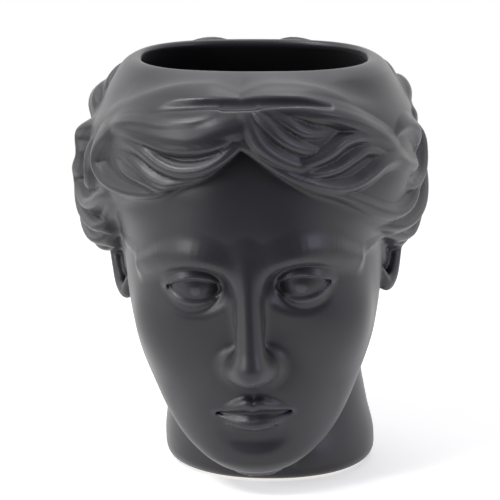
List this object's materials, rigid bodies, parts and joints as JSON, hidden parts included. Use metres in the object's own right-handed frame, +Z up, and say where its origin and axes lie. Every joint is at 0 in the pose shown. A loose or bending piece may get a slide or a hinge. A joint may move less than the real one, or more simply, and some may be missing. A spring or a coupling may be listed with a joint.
{
  "type": "vase",
  "caption": "Hollow ceramic head vase: a classical woman's head with waved hair, smooth band and open oval rim, on a short neck with pads under its foot.",
  "frame": {"origin": "on the surface that the vase stands on, under the middle of its box", "axes": "+Z up, -Y is the way the face looks, +X to the right of someone who faces the vase"},
  "size_m": [0.172, 0.1874, 0.2],
  "materials": {
    "glaze": "satin",
    "felt": "felt"
  },
  "bodies": {
    "root": {"vase_body": "glaze", "foot_pad_front_left": "felt", "foot_pad_front_right": "felt", "foot_pad_rear_left": "felt", "foot_pad_rear_right": "felt"}
  },
  "joints": []
}
